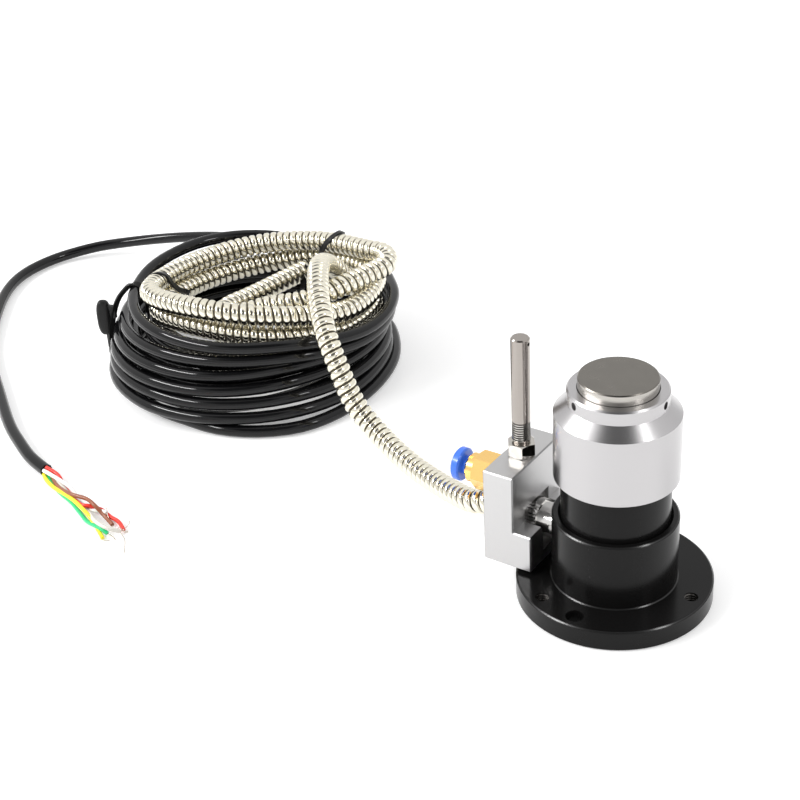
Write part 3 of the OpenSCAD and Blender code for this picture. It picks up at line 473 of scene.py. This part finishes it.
def makeHose(spec):
    line = hoseLine(spec)
    length = lineLength(line)
    bm = bmesh.new()
    turns = spec["pieceTurns"]
    count = round(length / spec["pitch"] / turns)
    pitch = length / count / turns                     # whole turns from end to end
    verts = [bm.verts.new((share * pitch, 0, r)) for share, r in spec["profile"]]
    edges = [bm.edges.new(pair) for pair in zip(verts, verts[1:])]
    bmesh.ops.spin(bm, geom=verts + edges, axis=(1, 0, 0), cent=(0, 0, 0), angle=2 * math.pi * turns,
                   dvec=(pitch / spec["steps"], 0, 0), steps=spec["steps"] * turns)
    bmesh.ops.remove_doubles(bm, verts=bm.verts, dist=spec["weld"])
    # faces deep in the grooves take the painted-shade look
    for f in bm.faces:
        inGroove = max(math.hypot(v.co.y, v.co.z) for v in f.verts) < spec["grooveRadius"]
        f.material_index = int(inGroove)
    source = bm.verts[:] + bm.edges[:] + bm.faces[:]
    for k in range(1, count):
        copy = bmesh.ops.duplicate(bm, geom=source)["geom"]
        moved = [v for v in copy if isinstance(v, bmesh.types.BMVert)]
        bmesh.ops.translate(bm, verts=moved, vec=(k * turns * pitch, 0, 0))
    bmesh.ops.remove_doubles(bm, verts=bm.verts, dist=spec["weld"])
    bendAlong(bm, line)
    hose = addPiece("armouredHose", bm, [looks["hoseSteel"], looks["hoseGrooveShade"]])
    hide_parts("hose_lead", "hose_coil")
    return hose, line


hose, hosePath = makeHose(hoseSpec)
print("hose", round(lineLength(hosePath)), "mm", len(hose.data.polygons), "faces")


# Signal cable: from the hose's end through hidden inner turns and seven outer ones to its stripped end

cableSpec = dict(
    diameter=4.6, perTurn=24, parts=3, inner=5, startHeight=23.8,
    frontAngle=311, start=-5.46, last=6.25,            # places count in turns, 0 at the front of the lowest
    fronts=[24.5, 26.2, 21.6, 15.7, 6, 2.3, 7.1, 12, 16.8, 22.4, 28.6, 33.6],      # height at the front
    rights=[18.7, 18.9, 14.2, 9.5, 4.8, 2.6, 6.2, 10.5, 14.8, 19.4, 24, 28.6],     # and at the right
    rightFrom=0.16, rightTo=0.44, lowestRightTo=0.6,   # shares of a turn between which it counts as right
    climbTurn=5,                                       # this one climbs over the tail at the back
    climb=[(5, 28.6), (5.16, 24), (5.33, 24), (5.5, 34.4), (5.56, 35.4), (5.64, 35), (5.72, 33.6), (6, 33.6)],
    topTurn=6,                                         # lies on the last centre whatever its height
    centres=[(2.4, -191.6, 62.7, 52.6), (16.8, -188, 63, 52.6), (33.6, -182.5, 63.5, 49.4)],  # z, x, y, r
    loose=[(-5.5, -10.5), (-5.35, -13.2), (-5.2, -14.4), (-5.05, -14.4), (-4.86, -9.8), (-4.27, -9.8),
           (-4.03, -5.2), (-0.3, -5.2), (-0.2, -4.4), (-0.1, -1.6), (-0.04, 3.4), (0.01, 7), (0.05, 8.6),
           (0.09, 7.2), (0.13, 5), (0.18, 4), (0.24, 4.4), (0.3, 5.6), (0.38, 5), (0.5, 3), (0.7, 0.5),
           (0.8, 0.8), (0.92, 2.8), (1, 4), (1.06, 4), (1.1, 3), (1.14, 1.6), (1.18, 0.9), (1.24, 1),
           (1.32, 1.4), (1.42, 0.6), (1.5, 0), (1.85, 0.4), (1.92, 1.2), (2, 2.2), (2.08, 2.4), (2.16, 1.4),
           (2.3, 0.6), (2.5, 0), (2.9, 0.3), (3, 1), (3.1, 0.8), (3.3, 0)],        # in or out of the round
    wobble=dict(size=0.35, rate=7.3),
    squeeze=dict(depth=5.5, lean=0.2, power=3, start=(-5.4, 0.3), inner=(-0.2, -0.1), outer=(0.9, 2.6),
                 end=(5, -0.3)),                       # flat at the right; ramps as place and span
    tuck=dict(depth=2.4, start=(5.22, 0.1), end=(5.6, -0.15)),                     # before the climb
    leadIn=[(-182.7, 88.5, 29.8), (-182, 93.2, 26.6), (-184.5, 99, 23), (-192, 103.5, 22.8),
            (-203, 103.5, 23.2), (-213, 98.5, 24)],
    tail=[(-163, 113, 27), (-181, 120, 25), (-205, 121, 22.5), (-228, 122.5, 19.5), (-252, 123.5, 16),
          (-271, 122.5, 12.5), (-288, 120, 9), (-302, 115, 6.5), (-314, 108, 4.6), (-323, 98, 3),
          (-327, 87, 2.5), (-327, 73.5, 2.5), (-322, 59, 2.5), (-310, 41, 2.5), (-288, 15, 2.5),
          (-257, -9, 2.5), (-237, -23.5, 2.5), (-224, -31, 2.5), (-213, -36.5, 2.5), (-202, -40, 2.5)])


def ramp(t, placeAndSpan):
    place, span = placeAndSpan
    return ease((t - place) / span)


def cableHeight(spec, t):
    fronts, rights = spec["fronts"], spec["rights"]
    k = math.floor(t)
    n = k + spec["inner"]
    if n < 0:
        return lookUp([(spec["start"], spec["startHeight"]), (-spec["inner"], fronts[0])], t)
    if k == spec["climbTurn"]:
        return lookUp(spec["climb"], t)
    leave = spec["lowestRightTo"] if k == 0 else spec["rightTo"]
    return lookUp([(k, fronts[n]), (k + spec["rightFrom"], rights[n]), (k + leave, rights[n]),
                   (k + 1, fronts[min(n + 1, len(fronts) - 1)])], t)


def cableLine(spec):
    turns = []
    low, mid, high = spec["centres"]
    wobble, squeeze, tuck = spec["wobble"], spec["squeeze"], spec["tuck"]
    for i in range(round(spec["start"] * spec["perTurn"]), int(spec["last"] * spec["perTurn"]) + 1):
        t = i / spec["perTurn"]
        angle = math.radians(spec["frontAngle"] + 360 * t)
        z = cableHeight(spec, t)
        a, b = (low, mid) if z < mid[0] else (mid, high)
        f = 1 if t >= spec["topTurn"] else min(max((z - a[0]) / (b[0] - a[0]), 0), 1)
        x, y, r = [a[j] + (b[j] - a[j]) * f for j in (1, 2, 3)]
        r += wobble["size"] * math.sin(wobble["rate"] * t) * (t > 0) + lookUp(spec["loose"], t)
        side = max(math.cos(angle + squeeze["lean"]), 0) ** squeeze["power"]
        r -= (squeeze["depth"] * side * ramp(t, squeeze["start"])
              * (ramp(t, squeeze["outer"]) + ramp(t, squeeze["inner"])) * ramp(t, squeeze["end"]))
        r -= tuck["depth"] * ramp(t, tuck["start"]) * ramp(t, tuck["end"])
        turns.append((x + r * math.cos(angle), y + r * math.sin(angle), z))
    return throughPoints(spec["leadIn"] + turns + spec["tail"], spec["parts"])


cablePath = cableLine(cableSpec)
cable = addTubes("signalCable", [cablePath], cableSpec["diameter"], looks["cableBlack"])
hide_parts("cable_coil", "cable_tail")
print("cable", round(lineLength(cablePath)), "mm")


# Stripped cores and the shield's drain strands

coreSpec = dict(
    diameter=1.4, parts=5,
    routes=dict(
        red=[(-201.8, -40, 3.9), (-196, -40.2, 2.4), (-189, -44, 1.4), (-176.5, -50, 2.6),
             (-172.5, -49.5, 2.8), (-169, -47.5, 1.2), (-163.5, -49, 1), (-159, -50, 1.2),
             (-154.5, -52.5, 1)],
        white=[(-202, -41.2, 3.1), (-193.5, -43, 3.4), (-185, -45, 3.2), (-180, -47, 1.2),
               (-173, -49.5, 1.2), (-168.5, -49, 1.8), (-165, -49, 2.4)],
        yellow=[(-202, -41.5, 1.6), (-198, -44, 1.8), (-192, -46.5, 2.2), (-182.5, -49, 3),
                (-176, -51, 3), (-167.5, -54.5, 2.8), (-162.5, -56.5, 1), (-157.5, -59.5, 0.8)],
        green=[(-201.7, -40, 1.1), (-197, -43.3, 1.2), (-189.5, -46.5, 1), (-181.5, -49, 0.9),
               (-173, -53, 0.9), (-168.5, -55, 1), (-161, -57, 2.2), (-157.5, -57, 1.2)],
        brown=[(-201.45, -38.9, 2), (-193, -44.5, 2.2), (-187, -47, 3), (-181, -48.5, 4), (-175, -48, 4),
               (-170, -49.5, 4), (-166, -49.8, 1.6), (-160, -52, 0.8)]),
    shield=[(-201.9, -40, 2.5), (-187.5, -45.5, 2), (-177, -50, 1.2), (-170.5, -52, 2.2),
            (-163.5, -56, 3.4), (-157.5, -57, 3.4), (-154.8, -54, 1.2)],
    strandDiameter=0.3, strandParts=3,
    strands=[                                          # bare ends
        [(-154.5, -52.5, 1), (-153.6, -53.2, 0.7), (-152.6, -52.2, 0.5)],
        [(-165, -49, 2.4), (-164.2, -49.6, 2), (-163.1, -50.3, 1.5)],
        [(-165, -49, 2.4), (-166, -48, 3.4)],
        [(-157.5, -59.5, 0.8), (-156.4, -60, 0.5), (-154.8, -59, 0.5)],
        [(-157.5, -57, 1.2), (-155.3, -57, 0.6), (-153.5, -57.8, 0.4)],
        [(-160, -52, 0.8), (-159.2, -52.6, 0.6)],
        [(-154.8, -54, 1.2), (-152.8, -55, 0.7), (-150.7, -56.2, 0.5), (-148, -59.2, 0.5),
         (-145.9, -61.8, 0.4)],
        [(-154.8, -54, 1.2), (-154.4, -51.8, 1.2), (-154.4, -49.5, 1.8), (-155.6, -48.4, 1.8)],
        [(-154.8, -54, 1.2), (-153, -52, 0.6)],
        [(-155.4, -54.4, 1.8), (-156, -53, 1.6), (-154.2, -52.8, 1)]])

for coreName, route in {**coreSpec["routes"], "shield": coreSpec["shield"]}.items():
    line = throughPoints(route, coreSpec["parts"])
    look = looks["shieldFoil"] if coreName == "shield" else looks[coreName]
    tube = addTubes("core_" + coreName, [line], coreSpec["diameter"], look)
    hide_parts("shield_drain" if coreName == "shield" else "wire_" + coreName)
strandLines = [throughPoints(strand, coreSpec["strandParts"]) for strand in coreSpec["strands"]]
bareEnds = addTubes("bareStrands", strandLines, coreSpec["strandDiameter"], looks["copper"])


# Ties round the coil: flat bands, one with a knot

tieSpec = dict(
    width=2, thick=0.8,
    coilTie=dict(
        node="coil_tie",
        knot=dict(place=(-238.4, 33.3, 21), size=(2.9, 2.3, 7.4), turn=34, fullness=0.7, around=32, rows=20),
        bands=[dict(across=(0.5, 0.86, 0), parts=5,
                    points=[(-237, 33, 6), (-236.3, 33.4, 14), (-234, 34.2, 23), (-231.3, 34.8, 29.5),
                            (-228.2, 36, 33.8), (-225.4, 37.8, 36.4), (-222.2, 39.8, 35), (-221, 40.5, 31),
                            (-221.5, 40, 24)]),
               dict(across=(0, 0, 1), parts=3, width=5, thick=1.4,                 # stem of the knot
                    points=[(-238.5, 33.4, 23.5), (-236, 34, 24), (-233.2, 34.6, 24)]),
               dict(across=(0.83, 0.55, 0), parts=3, width=1.2,                    # its loose end
                    points=[(-238, 33.5, 14), (-237.9, 33.4, 11), (-237.7, 33.2, 8.2)])]),
    hoseTieBack=dict(
        node="hose_tie_back",
        bands=[dict(across=(0.95, -0.2, 0), parts=5,
                    points=[(-176, 106.8, 33), (-173.5, 104.4, 40.6), (-171.5, 101.8, 43.7),
                            (-171.2, 98.5, 44.6), (-173, 95.3, 42.8), (-176.5, 94.6, 38), (-179.5, 96.4, 33),
                            (-181.4, 92, 30.5), (-180.5, 87, 28.5), (-178, 82, 26)])]),
    hoseTieLeft=dict(
        node="hose_tie_left",
        bands=[dict(across=(-0.25, 0.9, -0.3), parts=4,
                    points=[(-219.1, 40.3, 37), (-217.9, 41, 40.2), (-215.2, 42.5, 41.4), (-212.5, 44, 40.1),
                            (-211.3, 44.7, 37), (-211.3, 48.5, 32.5), (-212.4, 54.1, 28.5),
                            (-213.8, 53.8, 25.3), (-216.9, 53, 23.9), (-220.4, 52.2, 25.6),
                            (-221.4, 51, 29.5), (-220.6, 46.5, 33), (-219.1, 40.3, 37)])]))


def addKnotTo(bm, knot):
    bmesh.ops.create_uvsphere(bm, u_segments=knot["around"], v_segments=knot["rows"], radius=1)
    for v in bm.verts:                                 # fuller than a ball, like a pulled knot
        v.co = [math.copysign(abs(c) ** knot["fullness"], c) for c in v.co]
    bmesh.ops.scale(bm, verts=bm.verts, vec=knot["size"])
    turn = Matrix.Rotation(math.radians(knot["turn"]), 3, "Z")
    bmesh.ops.rotate(bm, verts=bm.verts, cent=(0, 0, 0), matrix=turn)
    bmesh.ops.translate(bm, verts=bm.verts, vec=knot["place"])


def makeTie(name, spec):
    bm = bmesh.new()
    if "knot" in spec:
        addKnotTo(bm, spec["knot"])
    for band in spec["bands"]:
        line = throughPoints(band["points"], band["parts"])
        width, thick = band.get("width", tieSpec["width"]), band.get("thick", tieSpec["thick"])
        addStripTo(bm, line, band["across"], width, thick)
    tie = addPiece(name, bm, [looks["blackPlastic"]])
    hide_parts(spec["node"])


for tieName in ("coilTie", "hoseTieBack", "hoseTieLeft"):
    makeTie(tieName, tieSpec[tieName])
print("ties made")


# Threads that show: under the nozzle and in the flange's tapped holes

threadSpec = dict(
    smoothAngle=25, shadedBelow=-0.2,
    nozzle=dict(root=2.52, crest=2.86, pitch=0.8, turns=9, steps=32, place=(-32.2, 0, 44.3)),
    flange=dict(root=2.08, crest=1.72, pitch=0.8, turns=7, steps=24, reach=25.5, angles=(0, 120, 240),
                bottom=0.6))


def makeThreads(spec):
    smooth = spec["smoothAngle"]
    bm = bmesh.new()
    addThreadTo(bm, spec["nozzle"], spec["nozzle"]["place"])
    bm.normal_update()
    for f in bm.faces:
        f.material_index = int(f.normal.z < spec["shadedBelow"])     # painted shade on the flanks that face down
    addPiece("nozzleThread", bm, [looks["steel"], looks["tapped"]], smoothAngle=smooth)
    bm = bmesh.new()
    tap = spec["flange"]
    for turn in tap["angles"]:
        angle = math.radians(turn)
        place = (tap["reach"] * math.cos(angle), tap["reach"] * math.sin(angle), tap["bottom"])
        addThreadTo(bm, tap, place)
    addPiece("tappedThreads", bm, [looks["tapped"]], smoothAngle=smooth)


makeThreads(threadSpec)
print("threads made")


# Finishes of the CAD pieces

nodeLooks = dict(
    blackAnodised=["base", "sensor_body", "bottom_cover"],
    satinSilver=["cap_sleeve", "switch_plate"],
    blockSilver=["air_block"],
    hardMetal=["contact_disc"],
    steel=["plunger", "plunger_collar", "trip_flag", "return_spring", "guide_pin", "cover_screws",
           "plate_screws", "grip_ring", "hose_ferrule"],
    nozzleSteel=["nozzle_tube"],
    nutSteel=["nozzle_nut"],
    nippleSteel=["cable_nipple", "nipple_lock_ring"],
    bronze=["guide_bush"],
    brass=["fitting_body"],
    rubber=["wiper_seal", "neck_oring", "fitting_oring", "inner_cable"],
    bluePlastic=["release_collar"],
    blackPlastic=["measuring_switch", "overtravel_switch"])
for look, names in nodeLooks.items():
    for name in names:
        mesh = nodes[name].data
        mesh.materials.clear()
        mesh.materials.append(looks[look])
print("CAD pieces finished")


# Floor, backdrop and light

stageSpec = dict(
    floor=dict(size=6.0, tone=0.82, rough=0.6, glow=0.34),
    sky=[(0.0, 0.95), (0.25, 0.9), (0.6, 1.0), (0.8, 1.0), (1.0, 1.1)],   # brightness by height
    screen=dict(towards=(0.254, -0.514, 0.819), inner=0.955, outer=0.82, remains=0.13),   # dark side
    aim=(-0.1, 0.02, 0.02),
    lamps=dict(left=dict(place=(-0.9, -0.75, 0.95), size=(1.1, 0.17), power=16),
               right=dict(place=(0.95, -0.05, 0.9), size=(0.25, 0.25), power=2.5)))


def lightPathShare(tree):
    path = tree.nodes.new("ShaderNodeLightPath")
    seen = mathNode(tree, "MAXIMUM", path.outputs["Is Camera Ray"], path.outputs["Is Glossy Ray"])
    return mathNode(tree, "MAXIMUM", seen, path.outputs["Is Transmission Ray"])


def makeFloor(spec):
    bm = bmesh.new()
    bmesh.ops.create_grid(bm, x_segments=1, y_segments=1, size=spec["size"] / 2)
    mesh = bpy.data.meshes.new("floor")
    bm.to_mesh(mesh)
    bm.free()
    floor = bpy.data.objects.new("floor", mesh)
    scene.collection.objects.link(floor)
    look = bpy.data.materials.new("floorWhite")
    look.use_nodes = True
    tree = look.node_tree
    shader = tree.nodes["Principled BSDF"]
    tone = spec["tone"]
    shader.inputs["Base Color"].default_value = (tone, tone, tone, 1)
    shader.inputs["Roughness"].default_value = spec["rough"]
    shader.inputs["Emission Color"].default_value = (1, 1, 1, 1)
    glow = mathNode(tree, "MULTIPLY", lightPathShare(tree), spec["glow"])
    tree.links.new(glow, shader.inputs["Emission Strength"])
    mesh.materials.append(look)


def makeSky(stops, screen):
    world = bpy.data.worlds.new("studio")
    scene.world = world
    world.use_nodes = True
    tree = world.node_tree
    tree.nodes.clear()
    place = tree.nodes.new("ShaderNodeTexCoord").outputs["Generated"]
    parts = tree.nodes.new("ShaderNodeSeparateXYZ")
    ramped = tree.nodes.new("ShaderNodeValToRGB")
    elements = ramped.color_ramp.elements
    while len(elements) < len(stops):
        elements.new(0.5)
    for element, (height, tone) in zip(elements, stops):
        element.position = height
        element.color = (tone, tone, tone, 1)
    sky = tree.nodes.new("ShaderNodeBackground")
    out = tree.nodes.new("ShaderNodeOutputWorld")
    tree.links.new(place, parts.inputs[0])
    tree.links.new(parts.outputs["Z"], ramped.inputs["Fac"])
    facing = vectorNode(tree, "DOT_PRODUCT", place, screen["towards"]).outputs["Value"]
    shade = tree.nodes.new("ShaderNodeMapRange")
    shade.interpolation_type = "SMOOTHSTEP"
    shade.inputs["From Min"].default_value = screen["outer"]
    shade.inputs["From Max"].default_value = screen["inner"]
    shade.inputs["To Min"].default_value = 1
    shade.inputs["To Max"].default_value = screen["remains"]
    tree.links.new(facing, shade.inputs["Value"])
    tree.links.new(shade.outputs["Result"], sky.inputs["Strength"])
    tree.links.new(ramped.outputs["Color"], sky.inputs["Color"])
    tree.links.new(sky.outputs[0], out.inputs["Surface"])


def makeLamps(lamps, aim):
    for name, spec in lamps.items():
        lamp = bpy.data.lights.new(name, "AREA")
        lamp.energy = spec["power"]
        lamp.shape = "RECTANGLE"
        lamp.size, lamp.size_y = spec["size"]
        obj = bpy.data.objects.new(name, lamp)
        obj.location = spec["place"]
        ray = Vector(aim) - obj.location
        obj.rotation_euler = ray.to_track_quat("-Z", "Y").to_euler()
        scene.collection.objects.link(obj)


makeFloor(stageSpec["floor"])
makeSky(stageSpec["sky"], stageSpec["screen"])
makeLamps(stageSpec["lamps"], stageSpec["aim"])
print("stage ready")
